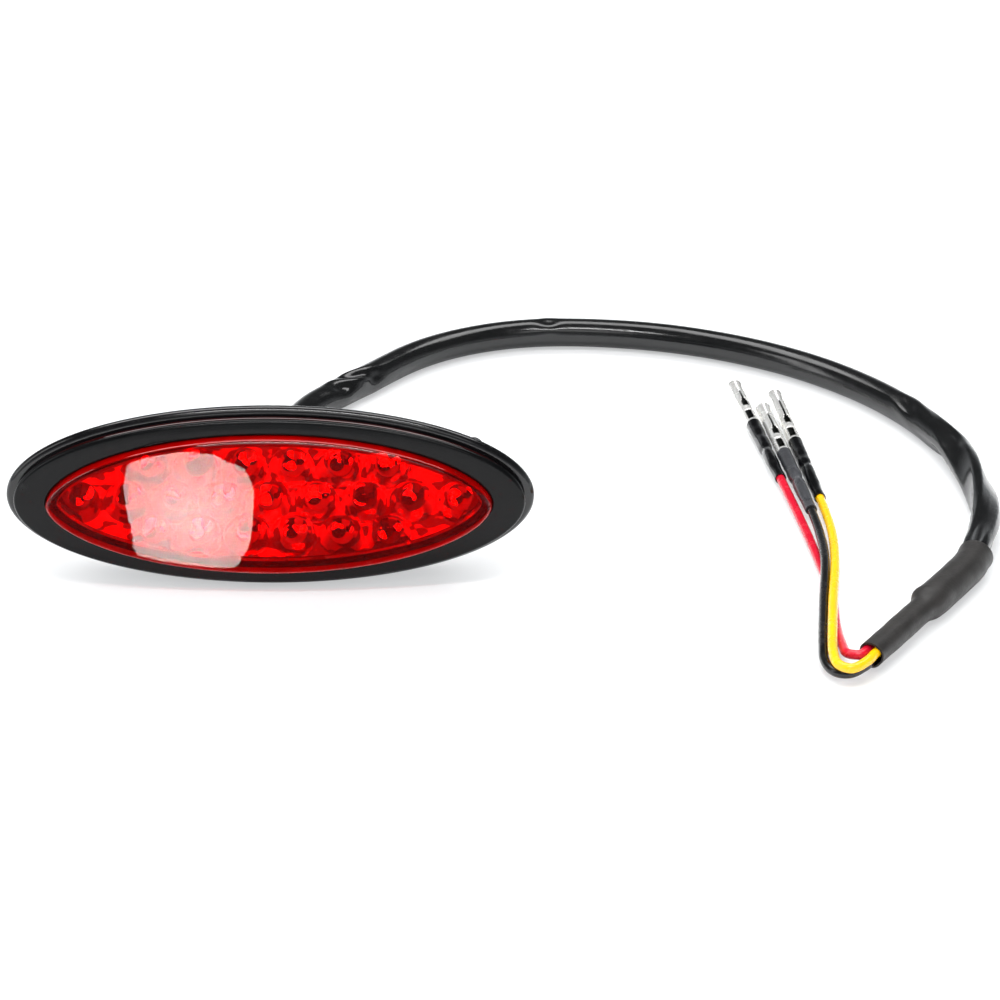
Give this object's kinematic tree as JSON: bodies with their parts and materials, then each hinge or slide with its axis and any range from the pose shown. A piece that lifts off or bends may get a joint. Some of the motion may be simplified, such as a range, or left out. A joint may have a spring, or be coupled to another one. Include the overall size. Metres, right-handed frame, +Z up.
{
  "type": "tail light",
  "caption": "Oval motorcycle tail light with an almond lens, two rear studs, and a sleeved cable ending in leads with bullet sockets.",
  "frame": {"origin": "centre of the rear mounting face, on the axis of the lamp, midway between the studs", "axes": "+X to the right across the width of the lamp seen from the lens, +Y backwards along the studs, +Z up; the lens faces -Y and the lamp stands on the lower edge of its rim"},
  "size_m": [0.2025, 0.1681, 0.039],
  "materials": {
    "housing_plastic": "polished black",
    "bezel_plastic": "satin black",
    "red_lens": "clear red, polished",
    "black_rubber": "matt",
    "sleeve_vinyl": "soft gloss",
    "shrink_tube": "matt",
    "red_wire": "soft gloss",
    "black_wire": "soft gloss",
    "yellow_wire": "soft gloss",
    "tinned_brass": "tin plated",
    "zinc_steel": "zinc plated",
    "black_steel": "black oxide",
    "mirror_film": "vacuum metallised",
    "board_laminate": "white solder mask",
    "led_epoxy": "clear red",
    "component_body": "moulded",
    "resistor_body": "lacquered",
    "nylon": "natural nylon"
  },
  "bodies": {
    "lamp": {"rear_housing": "housing_plastic", "mounting_gasket": "black_rubber", "mounting_studs": "black_steel", "lens_seal": "black_rubber", "lens": "red_lens", "bezel": "bezel_plastic", "bezel_screws": "zinc_steel", "reflector": "mirror_film", "circuit_board": "board_laminate", "board_screws": "zinc_steel", "tail_leds": "led_epoxy", "stop_leds": "led_epoxy", "resistors": "resistor_body", "diodes": "component_body", "voltage_regulator": "component_body", "inner_lead_red": "red_wire", "inner_lead_black": "black_wire", "inner_lead_yellow": "yellow_wire", "sleeve_entry": "sleeve_vinyl", "cable_grommet": "black_rubber", "cable_tie": "nylon"},
    "harness": {"cable_sleeve": "sleeve_vinyl", "core_red": "red_wire", "core_black": "black_wire", "core_yellow": "yellow_wire", "heat_shrink": "shrink_tube"},
    "lead_set": {"lead_red": "red_wire", "lead_black": "black_wire", "lead_yellow": "yellow_wire", "boot_red": "sleeve_vinyl", "boot_black": "sleeve_vinyl", "boot_yellow": "sleeve_vinyl", "socket_red": "tinned_brass", "socket_black": "tinned_brass", "socket_yellow": "tinned_brass"}
  },
  "joints": [
    {"name": "cable_flex", "type": "hinge", "parent": "lamp", "child": "harness", "pos_m": [0, 0.004, 0], "axis": [0, 0, 1], "range_deg": [-10, 10]},
    {"name": "lead_flex", "type": "hinge", "parent": "harness", "child": "lead_set", "pos_m": [0.11622, -0.05076, -0.016], "axis": [0, 0, 1], "range_deg": [-4, 14]}
  ]
}
